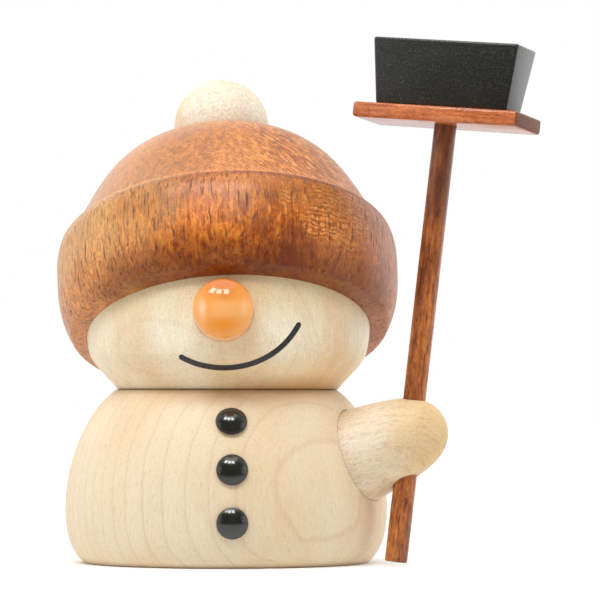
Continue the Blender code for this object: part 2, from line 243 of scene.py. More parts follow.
def domed(radius, wall, dome, edge, steps):
    """A dome that runs smoothly into a rounded edge of this radius, on a straight wall."""
    inner = radius - edge
    ball_r = (inner**2 + dome**2 - edge**2) / (2 * (dome - edge))
    meet = pi / 2 - asin(inner / (ball_r - edge))
    top = arc(wall + dome - ball_r, ball_r, pi / 2, meet, steps)
    return top + arc(wall, edge, meet, 0.0, steps, centre_r=inner)[1:]


def nose_outline():
    dome = domed(NOSE_R, NOSE_WALL, NOSE_DOME, NOSE_EDGE, 28)
    return dome + [(NOSE_R, -NOSE_SUNK), (0.0, -NOSE_SUNK)]


def button_outline():
    dome = domed(BUTTON_R, SEAM + BUTTON_RIM, BUTTON_DOME - BUTTON_RIM, BUTTON_RIM, 20)
    under = arc(SEAM + BUTTON_RIM, BUTTON_RIM, 0.0, -pi / 2, 6, centre_r=BUTTON_R - BUTTON_RIM)
    return dome + under[1:] + [(PIN_R, SEAM), (PIN_R, -PIN_L), (0.0, -PIN_L)]


def arm_outline():
    tip, waist = (ARM_R - 0.95 * MM, ARM_L), (ARM_R - 1.0 * MM, 6.2 * MM)
    return bezier((0.0, ARM_L), tip, waist, (ARM_R, 0.0), 56) + [(ARM_R, -ARM_SUNK), (0.0, -ARM_SUNK)]


def rod_outline(radius, low, high, edge=0.0):
    outline = [(0.0, high), (radius, high), (radius, low), (0.0, low)]
    return softened(softened(outline, 2, edge), 1, edge) if edge else outline


# Meshes


def add_object(name, bm, place):
    """An object whose vertices are already in the frame, as the CAD nodes' are."""
    bm.transform(place)
    mesh = bpy.data.meshes.new(name)
    bm.to_mesh(mesh)
    bm.free()
    obj = bpy.data.objects.new(name, mesh)
    bpy.context.scene.collection.objects.link(obj)
    return obj


def lathe(name, outline, place, steps):
    """A closed solid turned about the place's +Z from an outline that starts and ends there."""
    bm = bmesh.new()
    turns = [2 * pi * i / steps for i in range(steps)]
    rings = []
    for radius, height in outline:
        if radius < ON_AXIS:
            rings.append([bm.verts.new((0.0, 0.0, height))] * steps)
        else:
            rings.append([bm.verts.new((radius * cos(a), radius * sin(a), height)) for a in turns])
    for upper, lower in zip(rings, rings[1:]):
        for i in range(steps):
            j = (i + 1) % steps
            corners = dict.fromkeys((upper[i], lower[i], lower[j], upper[j]))
            bm.faces.new(tuple(corners))
    return add_object(name, bm, place)


def block(name, foot, top, low, height, edge, place):
    """A box whose foot and top differ in size, with rounded edges."""
    bm = bmesh.new()
    bmesh.ops.create_cube(bm, size=1)
    for vertex in bm.verts:
        length, width = top if vertex.co.z > 0 else foot
        vertex.co.x *= length
        vertex.co.y *= width
        vertex.co.z = low + (height if vertex.co.z > 0 else 0.0)
    bmesh.ops.bevel(bm, geom=bm.edges[:], offset=edge, segments=4, profile=0.5, affect="EDGES")
    return add_object(name, bm, place)


def bore(obj, radius, low, high, place, steps=SMALL_STEPS):
    """Drills a round hole along the place's axis, from low to high."""
    cut(obj, lathe("drill", rod_outline(radius, low, high), place, steps))


def cut(obj, cutter):
    """Takes the cutter's shape out of the object, and the cutter away."""
    hole = obj.modifiers.new("hole", "BOOLEAN")
    hole.operation = "DIFFERENCE"
    hole.solver = "MANIFOLD"
    hole.object = cutter
    bpy.context.view_layer.update()
    graph = bpy.context.evaluated_depsgraph_get()
    made = bpy.data.meshes.new_from_object(obj.evaluated_get(graph))
    obj.modifiers.clear()
    obj.data = made
    bpy.data.objects.remove(cutter)


def dress(obj, node, body, material, sharp=35):
    """Shades a piece, gives it its material, and puts it in its CAD node's place."""
    obj.data.materials.clear()
    obj.data.materials.append(material)
    obj.data.shade_smooth()
    obj.data.set_sharp_from_angle(angle=radians(sharp))
    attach(obj, body)
    if node:
        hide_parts(node)


# Procedural materials


def rgb(red, green, blue):
    """A linear colour from sRGB display values of 0 to 255."""
    shares = (c / 255 for c in (red, green, blue))
    return tuple(((c + 0.055) / 1.055) ** 2.4 if c > 0.04045 else c / 12.92 for c in shares)


class Shader:
    """One node material; each method adds a node and returns the socket it makes.

    Its x, y, z are millimetres in the piece's own place, with the fibres along z.
    """

    def __init__(self, name, place):
        self.material = bpy.data.materials.new(name)
        self.material.use_nodes = True
        self.tree = self.material.node_tree
        self.surface = self.tree.nodes["Principled BSDF"]
        coords = self.tree.nodes.new("ShaderNodeTexCoord").outputs["Object"]
        inputs = {0: coords, 1: place.to_translation(), 2: place.to_euler(), 3: (MM, MM, MM)}
        self.place = self.node("Mapping", inputs, vector_type="TEXTURE")
        split = self.tree.nodes.new("ShaderNodeSeparateXYZ")
        self.tree.links.new(self.place, split.inputs[0])
        self.x, self.y, self.z = split.outputs

    def node(self, kind, inputs, output=0, **settings):
        """Adds a node of this kind; an input is a socket to link or a value to set."""
        made = self.tree.nodes.new("ShaderNode" + kind)
        for key, value in settings.items():
            setattr(made, key, value)
        for key, value in inputs.items():
            if isinstance(value, bpy.types.NodeSocket):
                self.tree.links.new(value, made.inputs[key])
            else:
                made.inputs[key].default_value = value
        return made.outputs[output]

    def math(self, operation, a, b=0.0):
        return self.node("Math", {0: a, 1: b}, operation=operation)

    def add(self, total, *values):
        for value in values:
            total = self.math("ADD", total, value)
        return total

    def times(self, product, *values):
        for value in values:
            product = self.math("MULTIPLY", product, value)
        return product

    def distance(self, x, y):
        """How far the point (x, y) is from (0, 0)."""
        return self.math("SQRT", self.add(self.times(x, x), self.times(y, y)))

    def span(self, value, low, high, out_low=0.0, out_high=1.0):
        """A smooth step from out_low to out_high as the value goes from low to high."""
        ends = {0: value, 1: low, 2: high, 3: out_low, 4: out_high}
        return self.node("MapRange", ends, interpolation_type="SMOOTHSTEP")

    def band(self, value, rise, full, fade, gone):
        """0 up to rise, 1 from full to fade, and 0 again from gone, with smooth steps between."""
        return self.times(self.span(value, rise, full), self.span(value, gone, fade))

    def noise(self, x, y, z, detail=2.0, rough=0.5, twist=0.0):
        """Noise of 0 to 1 whose grains are about 1/x, 1/y and 1/z millimetres."""
        inputs = {0: self.place, 1: (x, y, z)}
        stretched = self.node("VectorMath", inputs, operation="MULTIPLY")
        return self.noise_at(stretched, detail, rough, twist)

    def noise_at(self, vector, detail, rough, twist):
        inputs = {"Vector": vector, "Scale": 1.0, "Detail": detail}
        return self.node("TexNoise", inputs | {"Roughness": rough, "Distortion": twist})

    def mix(self, share, a, b, blend="MIX"):
        inputs = {0: share, 6: a, 7: b}
        return self.node("Mix", inputs, 2, data_type="RGBA", blend_type=blend)

    def paint(self, colour, share, tone):
        """The colour with this share of another over it, given in sRGB values of 0 to 255."""
        return self.mix(share, colour, (*rgb(*tone), 1.0))

    def ramp(self, value, stops):
        """Colours in sRGB values of 0 to 255 at positions from 0 to 1."""
        made = self.tree.nodes.new("ShaderNodeValToRGB")
        scale = made.color_ramp.elements
        while len(scale) < len(stops):
            scale.new(0.5)
        for element, (position, tone) in zip(scale, stops):
            element.position, element.color = position, (*rgb(*tone), 1.0)
        self.tree.links.new(value, made.inputs[0])
        return made.outputs[0]

    def finish(
        self, colour, roughness, height=None, depth=0.02, coat=0.0, coat_rough=0.05, specular=0.5
    ):
        """Sets the surface; height is 0 to 1 over a bump this many millimetres deep."""
        for name, value in {"Base Color": colour, "Roughness": roughness}.items():
            self.tree.links.new(value, self.surface.inputs[name])
        self.surface.inputs["Coat Weight"].default_value = coat
        self.surface.inputs["Coat Roughness"].default_value = coat_rough
        self.surface.inputs["Specular IOR Level"].default_value = specular
        if height is not None:
            bump = self.node("Bump", {"Height": height, "Distance": depth * MM, "Strength": 1.0})
            self.tree.links.new(bump, self.surface.inputs["Normal"])
        return self.material


def maple(
    name,
    place,
    pith,
    gap,
    first,
    tilt=0.0,
    rings=0.1,
    flecks=0.1,
    rays=0.0,
    warm_shade=None,
    shaded=None,
    shaded_seams=(),
    neck_shadow=None,
    straighten=0.0,
    grit=0.15,
    pale=(243, 226, 194),
):
    """Pale close-grained wood, its fibres along +Z and its rings round a far pith (x, y).

    gap is the rings' spacing, first the distance from the pith to one of them, tilt and
    straighten how they lean and bow with height. rings, flecks, rays and grit say how strong
    each mark is. The warm and shaded heights bound where painted shade darkens the wood, the
    seam heights get a band of painted shade and a dark joint line, and the neck shadow is
    (middle, half width, low, high) of a brown blot of painted shadow near the neck.
    """
    s = Shader(name, place)
    slow = s.noise(0.045, 0.045, 0.02, detail=1.0)
    ripple = s.noise(0.3, 0.3, 0.08)
    fibre = s.noise(4.5, 4.5, 0.35, detail=3.0, rough=0.65)
    fleck = s.span(s.noise(3.0, 3.0, 0.5, rough=0.7), 0.56, 0.72)
    speck = s.noise(3.4, 3.4, 2.6, detail=3.0, rough=0.75)
    cloud = s.noise(0.1, 0.1, 0.04, detail=3.0)

    # Each ring fades in and ends in a thin line
    bow = s.times(s.math("POWER", s.math("ABSOLUTE", s.add(s.z, -10.0)), 2.0), straighten)
    bend = s.add(s.times(s.add(slow, -0.5), 3.0), s.add(bow, s.times(s.add(ripple, -0.5), 0.7)))
    out = s.distance(s.add(s.x, -pith[0]), s.add(s.y, -pith[1]))
    out = s.add(out, s.times(s.z, tilt), bend)
    year = s.math("FRACT", s.times(s.add(out, -first), 1 / gap))
    late = s.band(year, 0.55, 0.95, 0.97, 1.0)
    line = s.band(year, 0.84, 0.94, 0.96, 1.0)

    colour = s.paint((*rgb(*pale), 1.0), s.span(cloud, 0.3, 0.75), (237, 212, 172))
    # painted shade, growing between the shaded heights
    if shaded:
        colour = s.paint(colour, s.span(s.z, *shaded, 0.0, 0.5), (222, 192, 130))
    # painted warm shade, growing between the warm heights and toward +x
    if warm_shade:
        warm_shade_share = s.times(s.span(s.z, *warm_shade, 0.0, 0.42), s.span(s.x, -14.0, 2.0))
        colour = s.paint(colour, warm_shade_share, (234, 182, 92))
    colour = s.paint(colour, s.times(late, rings * 0.5), (206, 156, 108))
    colour = s.paint(colour, s.times(line, rings * 1.3), (198, 138, 100))
    colour = s.paint(colour, s.times(s.span(fibre, 0.38, 0.72), flecks * 1.8), (188, 146, 96))
    colour = s.paint(colour, s.times(fleck, flecks * 2.4), (176, 130, 80))
    colour = s.paint(colour, s.times(s.span(speck, 0.42, 0.70), grit), (190, 150, 102))
    if rays:
        ray = s.noise(0.45, 2.6, 0.9, detail=3.0, rough=0.7, twist=0.8)
        colour = s.paint(colour, s.times(s.span(ray, 0.50, 0.68), rays), (170, 124, 74))
    # a brown blot of painted shadow near the neck
    if neck_shadow:
        middle, half, low, high = neck_shadow
        across = s.span(s.math("ABSOLUTE", s.add(s.x, -middle)), half, 0.3 * half)
        blot = s.times(across, s.span(s.z, low, high), s.span(cloud, 0.3, 0.6, 0.7, 1.0))
        colour = s.paint(colour, s.times(blot, 0.62), (178, 118, 48))
    # at each seam a soft band of painted shade, then a dark joint line in it
    for seam in shaded_seams:
        away = s.math("ABSOLUTE", s.add(s.z, -seam))
        colour = s.paint(colour, s.span(away, 0.9, 0.0, 0.0, 0.22), (150, 102, 58))
        colour = s.paint(colour, s.span(away, 0.22, 0.06, 0.0, 0.6), (110, 68, 30))
    rough = s.add(s.span(fibre, 0.3, 0.7, 0.42, 0.54), s.times(speck, 0.06))
    height = s.add(s.times(fibre, 0.6), s.times(speck, 0.4))
    return s.finish(colour, rough, height, depth=0.035, specular=0.35)


def hat_figure_and_light(s, colour, grain):
    """The hat blank's own markings and painted light and shade, over the brim and then over the crown.

    Also returns how much of the pores to show: few on the crown, where the grain is cut across.
    """
    side = s.math("ARCTAN2", s.x, s.times(s.y, -1.0))
    wander = s.times(s.add(s.noise(0.14, 0.14, 0.08, detail=4.0), -0.5), 0.9)
    turn = s.add(side, wander)  # radians to the right of the front
    up = s.add(s.z, s.times(wander, 7.0))  # millimetres from the level of the ball's centre
    colour = pale_and_lit_side(s, colour, turn, up)
    patches = s.span(s.noise(0.35, 0.35, 0.2, detail=4.0, rough=0.6), 0.40, 0.62)
    colour = front_shade_and_patches(s, colour, turn, up, patches)
    colour = curly_patch(s, colour, turn, up, patches)
    # far: darker streaky wood round the right, partly painted shade on the side turned from the key
    # lights
    far = s.times(s.band(turn, 0.4, 1.0, 1.7, 2.6), s.span(grain, 0.35, 0.65, 0.6, 1.0))
    colour = s.paint(colour, s.times(far, 0.65), (132, 80, 42))
    # shoulder: a painted haze of reflected light that dulls the brim's shoulder, from the middle
    # rightward
    shoulder = s.band(s.z, 6.0, 10.0, GROOVE_Z / MM - 1.0, GROOVE_Z / MM)
    shoulder = s.times(shoulder, s.span(s.x, -22.0, -10.0))
    colour = s.paint(colour, s.times(shoulder, 0.32), (150, 108, 68))
    above_groove = s.add(s.z, -GROOVE_Z / MM)
    colour = crown_figure_and_light(s, colour, above_groove)
    return colour, s.span(above_groove, -1.0, 3.0, 1.0, 0.25)


def pale_and_lit_side(s, colour, turn, up):
    """A paler left side, partly the wood's own tone and partly painted light from the lamps at the
    left, with fine dark streaks, weaker on the crown.
    """
    # left: the paler side, partly the wood's own tone and partly painted light from the left
    left = s.times(s.band(turn, -2.6, -1.7, -0.75, -0.15), s.span(up, 1.0, 7.0, 0.45, 1.0))
    left = s.times(left, s.span(s.z, GROOVE_Z / MM, GROOVE_Z / MM + 1.0, 1.0, 0.4))
    colour = s.paint(colour, s.times(left, 0.62), (224, 178, 112))
    streak = s.span(s.noise(4.2, 4.2, 0.14), 0.53, 0.66)
    return s.paint(colour, s.times(streak, left, 0.55), (140, 84, 36))


def front_shade_and_patches(s, colour, turn, up, patches):
    """Painted shade along the low front of the brim, which faces down, and dark patches between it and
    the curly part.
    """
    # low: painted shade on the brim's low front, which faces down
    low = s.times(s.span(up, 5.4, -1.4), s.band(turn, -1.1, -0.5, 0.7, 1.6))
    colour = s.paint(colour, s.times(low, 0.72), (104, 46, 16))
    shade = s.band(turn, -0.05, 0.2, 0.4, 0.62)
    shade = s.times(shade, s.span(up, 14.0, 8.0), patches, 0.7)
    return s.paint(colour, shade, (112, 50, 20))


def curly_patch(s, colour, turn, up, patches):
    """Golden wood at the right of the front, with short bright and dark waves across it."""
    curly = s.times(s.band(turn, 0.34, 0.54, 0.76, 1.06), s.band(up, 1.0, 5.0, 12.0, 20.0))
    bend = s.times(s.noise(0.55, 0.55, 0.6, detail=3.0, rough=0.6), 20.0)
    wave = s.math("SINE", s.add(s.times(s.z, 7.6), bend))
    broken = s.span(s.noise(1.1, 1.1, 1.1), 0.34, 0.52)
    gold = s.times(curly, s.span(s.z, 3.0, 9.0), s.span(patches, 0.2, 0.8, 0.35, 1.0))
    crest = s.times(s.span(wave, 0.0, 0.9), broken, curly)
    trough = s.times(s.span(wave, 0.2, -0.8), broken, curly)
    colour = s.paint(colour, s.times(gold, 0.45), (218, 130, 52))
    colour = s.paint(colour, s.times(crest, 0.65), (244, 166, 88))
    return s.paint(colour, s.times(trough, 0.55), (104, 50, 22))


def crown_figure_and_light(s, colour, above_groove):
    """A crown dulled by a painted haze of reflected light, with slanting strokes at its right, a
    painted highlight above the groove and painted shade in it.
    """
    on_crown = s.span(above_groove, 0.0, 1.5)
    # a painted haze of reflected light, stronger at the left
    crown_sheen = s.times(on_crown, s.span(s.x, -6.0, 14.0, 0.5, 0.3))
    colour = s.paint(colour, crown_sheen, (176, 128, 84))
    slanted = {0: s.place, 2: (0.0, radians(40), 0.0), 3: (1.7, 0.8, 0.32)}
    flame = s.noise_at(s.node("Mapping", slanted, vector_type="TEXTURE"), 2.0, 0.5, 0.5)
    flared = s.times(on_crown, s.span(s.x, -8.0, 10.0, 0.1, 1.0))
    bright, dull = s.span(flame, 0.51, 0.61), s.span(flame, 0.48, 0.38)
    colour = s.paint(colour, s.times(bright, flared, 0.65), (254, 172, 96))
    colour = s.paint(colour, s.times(dull, flared, 0.35), (146, 76, 36))
    # a painted highlight where the edge above the groove catches the light
    lit_groove_edge = s.band(above_groove, 0.1, 0.5, 0.7, 1.4)
    colour = s.paint(colour, s.times(lit_groove_edge, 0.30), (246, 176, 118))
    # painted shade in the groove, darker toward the right
    in_groove = s.band(above_groove, -1.6, -0.5, -0.2, 0.3)
    groove_shade = s.times(in_groove, s.span(s.x, -24.0, 20.0, 0.15, 0.65))
    return s.paint(colour, groove_shade, (110, 50, 22))


def stick_shade_under_board(s, colour, grain):
    """Darker toward the top: painted shade under the board, with every pore showing."""
    dark = s.times(s.span(s.z, 30.0, 39.0), s.span(grain, 0.3, 0.6, 1.0, 0.85))
    return s.paint(colour, s.times(dark, 0.78), (76, 42, 32)), 1.0


def red_wood(
    name, place, tones, pores=1.0, speckle=0.3, mottle=0.2, figure=None, ends=None, **surface
):
    """Oiled red-brown wood with open pores, its fibres along +Z.

    tones are (position, colour) from dark to light, figure paints one blank's own markings and
    any painted light and shade on it, and ends is how far out end grain shows.
    """
    s = Shader(name, place)
    cloud = s.noise(0.12, 0.12, 0.05, twist=0.4)
    grain = s.noise(1.3, 1.3, 0.09, detail=4.0, rough=0.65, twist=0.2)
    fibre = s.noise(4.0, 4.0, 0.5, detail=3.0, rough=0.7)
    speck = s.noise(3.0, 3.0, 1.6, rough=0.75)
    dash = s.span(s.noise(2.4, 2.4, 0.24), 0.58, 0.68)
    blot = s.span(s.noise(1.5, 1.5, 0.5, rough=0.6), 0.62, 0.72)
    blotch = s.noise(1.1, 1.1, 0.55, detail=4.0, rough=0.75, twist=0.3)
    tone = s.add(s.times(cloud, 0.35), s.times(grain, 0.40), s.times(fibre, 0.25))
    colour = s.ramp(s.add(tone, s.times(s.add(blotch, -0.5), mottle)), tones)
    if figure:
        colour, side_grain = figure(s, colour, grain)
        dash, blot = s.times(dash, side_grain), s.times(blot, side_grain)
    speckle = s.times(s.span(cloud, 0.35, 0.6, 0.6, 1.0), speckle)
    glinting = s.times(s.span(speck, 0.54, 0.70), speckle)
    glint = s.mix(glinting, (1.0, 1.0, 1.0, 1.0), (1.9, 1.9, 1.8, 1.0))
    colour = s.mix(1.0, colour, glint, "MULTIPLY")
    colour = s.paint(colour, s.times(s.span(speck, 0.46, 0.32), speckle), (118, 56, 26))
    colour = s.paint(colour, s.times(dash, 0.7 * pores), (88, 38, 16))
    colour = s.paint(colour, s.times(blot, 0.55 * pores), (76, 34, 14))
    rough = s.add(s.span(grain, 0.3, 0.7, 0.28, 0.38), s.times(dash, 0.2))
    if ends:
        cut_end = s.span(s.math("ABSOLUTE", s.z), ends - 0.35, ends - 0.1)
        colour = s.paint(colour, s.times(cut_end, 0.8), (84, 44, 26))
        rough = s.add(s.times(rough, 0.5), s.times(cut_end, 0.5))
    height = s.add(s.times(fibre, 0.5), s.times(speck, 0.4), s.times(dash, -0.6))
    return s.finish(colour, rough, height, **surface)


def lacquer(name, place, base, dark, rough, patches=(), ring=None, orange_peel=0.006, **surface):
    """Glossy paint over turned wood.

    patches are soft ovals (x, y, half_x, half_y, share, colour) of painted reflection and shade;
    ring is (radius, colour), from where painted shade darkens the edge.
    """
    s = Shader(name, place)
    shade = s.noise(0.35, 0.35, 0.35)
    peel = s.noise(0.9, 0.9, 0.9)
    dust = s.span(s.noise(7.0, 7.0, 7.0, detail=1.0), 0.70, 0.80)
    colour = s.paint((*rgb(*base), 1.0), s.span(shade, 0.35, 0.7), dark)
    # the patches paint reflections and shade in soft ovals
    for x, y, half_x, half_y, share, tone in patches:
        off_x, off_y = s.times(s.add(s.x, -x), 1 / half_x), s.times(s.add(s.y, -y), 1 / half_y)
        off = s.add(s.distance(off_x, off_y), s.times(s.add(shade, -0.5), 0.6))
        colour = s.paint(colour, s.span(off, 1.0, 0.1, 0.0, share), tone)
    roughness = s.add(s.span(shade, 0.3, 0.7, rough, rough + 0.04), s.times(dust, 0.08))
    # ring: painted shade darkening the edge, with a duller surface
    if ring:
        start, tone = ring
        edge = s.span(s.distance(s.x, s.y), start, start + 0.25)
        colour = s.paint(colour, edge, tone)
        roughness = s.add(roughness, s.times(edge, 0.25))
    return s.finish(colour, roughness, peel, depth=orange_peel, coat_rough=0.03, **surface)


def black_block(name, place):
    """Stained and sanded black wood, fibres along +X."""
    s = Shader(name, place)
    fibre = s.noise(0.5, 4.0, 4.0, detail=3.0, rough=0.6)
    speck = s.noise(4.5, 4.5, 4.5, rough=0.7)
    cloud = s.noise(0.15, 0.3, 0.3)
    tones = [(0.35, (14, 14, 9)), (0.55, (22, 22, 17)), (0.70, (31, 31, 24))]
    colour = s.ramp(s.add(s.times(fibre, 0.5), s.times(cloud, 0.5)), tones)
    colour = s.paint(colour, s.times(s.span(speck, 0.54, 0.70), 0.55), (88, 86, 68))
    rough = s.add(s.span(fibre, 0.3, 0.7, 0.40, 0.52), s.times(speck, 0.08))
    height = s.add(s.times(fibre, 0.6), s.times(speck, 0.4))
    return s.finish(colour, rough, height, depth=0.04, coat=0.8, coat_rough=0.3, specular=0.4)


def ink(name, place):
    """A burnt and painted line, slightly glossy."""
    s = Shader(name, place)
    grain = s.noise(3.0, 3.0, 3.0)
    colour = s.ramp(grain, [(0.3, (40, 37, 40)), (0.7, (56, 52, 55))])
    return s.finish(colour, s.span(grain, 0.3, 0.7, 0.35, 0.5), grain)


# Colours: painted reflection and shade over the nose, a ring of painted shade at each button's edge,
# and tones from dark to light
NOSE_LIGHT_AND_SHADE = (
    (0.0, 4.2, 6.5, 4.6, 0.9, (210, 116, 42)),
    (0.0, -0.6, 5.0, 2.4, 0.5, (252, 186, 126)),
    (0.2, 1.3, 2.2, 0.8, 0.4, (226, 134, 44)),
    (0.0, -2.9, 3.6, 1.9, 0.75, (248, 146, 30)),
    (-3.2, -0.4, 1.0, 2.2, 0.7, (254, 206, 170)),
    (3.3, -0.4, 0.9, 2.0, 0.5, (250, 192, 144)),
)
BUTTON_RIM_SHADE = (2.1, (34, 16, 8))
HAT_TONES = (
    (0.34, (112, 52, 12)),
    (0.44, (172, 88, 24)),
    (0.53, (210, 114, 32)),
    (0.66, (234, 146, 54)),
)
STICK_TONES = (
    (0.38, (100, 48, 22)),
    (0.46, (148, 80, 34)),
    (0.54, (184, 104, 45)),
    (0.64, (214, 140, 66)),
)
BOARD_TONES = (
    (0.34, (148, 74, 40)),
    (0.46, (182, 99, 57)),
    (0.55, (204, 118, 70)),
    (0.68, (222, 140, 92)),
)

BODY_PITH = (-42.0, 55.0)
PAST_BODY = hypot(*BODY_PITH) + BELLY_R / MM + 0.08  # a ring just past the side away from the pith

maple_body = maple(
    "maple_body",
    body_place,
    pith=BODY_PITH,
    gap=2.35,
    first=PAST_BODY,
    tilt=0.06,
    flecks=0.075,
    shaded_seams=(NECK_Z / MM, 0.0),
    neck_shadow=(1.5, 16.0, 24.4, 28.0),
    straighten=0.006,
    pale=(240, 224, 194),
)
maple_head = maple(
    "maple_head",
    neck_place,
    pith=(30.0, 62.0),
    gap=3.1,
    first=4.0,
    tilt=-0.35,
    rings=0.06,
    flecks=0.08,
    warm_shade=(38.0, 29.0),
    shaded=(37.0, 45.0),
    shaded_seams=(NECK_Z / MM,),
    grit=0.27,
    neck_shadow=(10.0, 12.0, 31.0, 28.0),
    pale=(255, 250, 226),
)
maple_pompom = maple(
    "maple_pompom",
    hat_place,
    pith=(14.0, 30.0),
    gap=2.6,
    first=1.0,
    rings=0.05,
    flecks=0.05,
    rays=0.22,
    grit=0.46,
    pale=(246, 240, 222),
)
maple_arm = maple(
    "maple_arm",
    arm_place,
    pith=(5.0, 34.0),
    gap=2.0,
    first=0.0,
    rings=0.08,
    flecks=0.13,
    rays=0.26,
    warm_shade=(4.0, 15.0),
    shaded=(6.0, 13.0),
    pale=(250, 238, 216),
)
dowel_wood = maple(
    "dowel_wood", neck_place, pith=(8.0, 30.0), gap=1.6, first=0.0, rings=0.12, flecks=0.15
)
hat_wood = red_wood(
    "red_wood_hat",
    hat_place,
    HAT_TONES,
    speckle=0.4,
    mottle=0.7,
    figure=hat_figure_and_light,
    depth=0.06,
    specular=0.4,
)
stick_wood = red_wood(
    "red_wood_stick", broom_place, STICK_TONES, mottle=0.3, figure=stick_shade_under_board, depth=0.04
)
board_wood = red_wood(
    "red_wood_board",
    board_place,
    BOARD_TONES,
    pores=0.6,
    mottle=0.4,
    ends=BOARD[0] / 2 / MM,
    depth=0.03,
    coat=0.1,
    coat_rough=0.2,
)
orange = lacquer(
    "orange_lacquer",
    nose_place,
    base=(252, 172, 92),
    dark=(246, 160, 72),
    rough=0.25,
    patches=NOSE_LIGHT_AND_SHADE,
    coat=0.85,
    specular=0.1,
)
bristle_black = black_block("black_bristle", broom_place)
smile_ink = ink("smile_ink", neck_place)


# Figure

body = lathe("snowman_body", body_outline(), body_place, LARGE_STEPS)
bore(body, NECK_DOWEL_R + FREE, NECK_Z - NECK_DOWEL_HALF - FREE, NECK_Z + PAST, neck_place)
bore(body, ARM_R + SEAM, -ARM_SUNK - SEAM, FAR_PAST, arm_place, LARGE_STEPS)
bore(body, ARM_DOWEL_R + FREE, -ARM_DOWEL_IN - FREE, 0.0, arm_place)
for place in button_places.values():
    bore(body, PIN_R + SEAM, -PIN_L - FREE, PAST, place)
dress(body, "body", "figure", maple_body)

for name, place in button_places.items():
    gloss = lacquer(
        name + "_black",
        place,
        base=(28, 28, 20),
        dark=(35, 33, 24),
        rough=0.14,
        ring=BUTTON_RIM_SHADE,
        orange_peel=0.002,
        specular=1.0,
    )
    button = lathe(name + "_gloss", button_outline(), place, SMALL_STEPS)
    dress(button, name, "figure", gloss)

arm = lathe("mitten_arm", arm_outline(), arm_place, LARGE_STEPS)
bore(arm, STICK_R + SEAM, -FAR_PAST, FAR_PAST, broom_place)
bore(arm, ARM_DOWEL_R + FREE, -ARM_SUNK - PAST, ARM_DOWEL_OUT + FREE, arm_place)
dress(arm, "arm", "figure", maple_arm)

# Head and hat

head = lathe("snowman_head", head_outline(), neck_place, LARGE_STEPS)
bore(head, NECK_DOWEL_R + FREE, NECK_Z - PAST, NECK_Z + NECK_DOWEL_HALF + FREE, neck_place)
bore(head, HAT_DOWEL_R + FREE, HAT_DOWEL_FROM - FREE, HEAD_R + PAST, hat_place)
bore(head, NOSE_R + NOSE_SEAM, -NOSE_SUNK - FREE, PAST, nose_place, LARGE_STEPS)
dress(head, "head", "head", maple_head)

nose = lathe("button_nose", nose_outline(), nose_place, MEDIUM_STEPS)
dress(nose, "nose", "head", orange)

hat = lathe("turned_hat", hat_outline(), hat_place, LARGE_STEPS)
head_ball = arc(HEAD_Z, HEAD_R + SEAM, pi / 2, -pi / 2, 144)
cut(hat, lathe("head_seat", head_ball, neck_place, LARGE_STEPS))
pompom_ball = arc(POMPOM_Z, POMPOM_R + SEAM, pi / 2, -pi / 2, 64)
cut(hat, lathe("pompom_seat", pompom_ball, hat_place, MEDIUM_STEPS))
bore(hat, HAT_DOWEL_R + FREE, HEAD_R - PAST, HAT_DOWEL_TO, hat_place)
dress(hat, "hat", "head", hat_wood)

pompom = lathe("pompom_ball", arc(POMPOM_Z, POMPOM_R, pi / 2, -pi / 2, 72), hat_place, MEDIUM_STEPS)
bore(pompom, HAT_DOWEL_R + FREE, HEAD_R - PAST, HAT_DOWEL_TO + FREE, hat_place)
dress(pompom, "pompom", "head", maple_pompom)


def make_smile():
    """A thin painted line that follows the head's turned side, with round ends."""
    side = head_outline()[::-1]
    heights, radii = [z for _, z in side], [r for r, _ in side]
    rows, columns = 96, 8
    half = SMILE_W / 2
    path = [Vector(point) for point in bezier(*SMILE, rows)]
    steps = [(b - a).length for a, b in zip(path, path[1:])]
    bm = bmesh.new()
    sections = []
    for i, point in enumerate(path):
        ahead = path[min(i + 1, rows)] - path[max(i - 1, 0)]
        across = Vector((-ahead.y, ahead.x)).normalized()
        from_end = min(sum(steps[:i]), sum(steps[i:]))
        rounding = 1 - max(1 - from_end / half, 0.0) ** 2
        reach = half * sqrt(max(rounding, 0.02))  # the ends stay a little blunt
        top, under = [], []
        for j in range(columns + 1):
            off = (2 * j / columns - 1) * reach
            x, z = point + across * off
            z += HEAD_Z
            crown = SMILE_PROUD * sqrt(max(1 - (off / reach) ** 2, 0.0))
            for row, raised in ((top, crown), (under, -SMILE_UNDER)):
                radius = float(np.interp(z, heights, radii)) + raised
                row.append(bm.verts.new((x, -sqrt(radius**2 - x**2), z)))
        sections.append(top + under[::-1])
    for a, b in zip(sections, sections[1:]):
        for j in range(len(a)):
            k = (j + 1) % len(a)
            bm.faces.new((a[j], b[j], b[k], a[k]))
    bm.faces.new(sections[0])
    bm.faces.new(sections[-1][::-1])
    bmesh.ops.recalc_face_normals(bm, faces=bm.faces[:])
    return add_object("smile", bm, neck_place)


dress(make_smile(), None, "head", smile_ink, sharp=60)

# Broom

dowel = rod_outline(STICK_R, STICK_FOOT, STICK_TOP, STICK_EDGE)
stick = lathe("stick", dowel, broom_place, SMALL_STEPS)
dress(stick, "broom_stick", "stick", stick_wood)
section = (BOARD[2], BOARD[1])
board = block("head_board", section, section, -BOARD[0] / 2, BOARD[0], BOARD_EDGE, board_place)
bore(board, STICK_R + SEAM, BOARD_Z - PAST, BOARD_Z + BOARD[2] + PAST, broom_place)
dress(board, "broom_board", "broom_head", board_wood)
bristles = block("black_block", BLOCK_FOOT, BLOCK_TOP, BLOCK_Z, BLOCK_H, BLOCK_EDGE, broom_place)
bore(bristles, STICK_R + FREE, BOARD_Z, STICK_TOP + FREE, broom_place)
dress(bristles, "bristle_block", "broom_head", bristle_black)

# The hidden dowels keep their CAD meshes
for name in ("neck_dowel", "hat_dowel", "arm_dowel"):
    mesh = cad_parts[name].data
    mesh.materials.clear()
    mesh.materials.append(dowel_wood)

# Studio


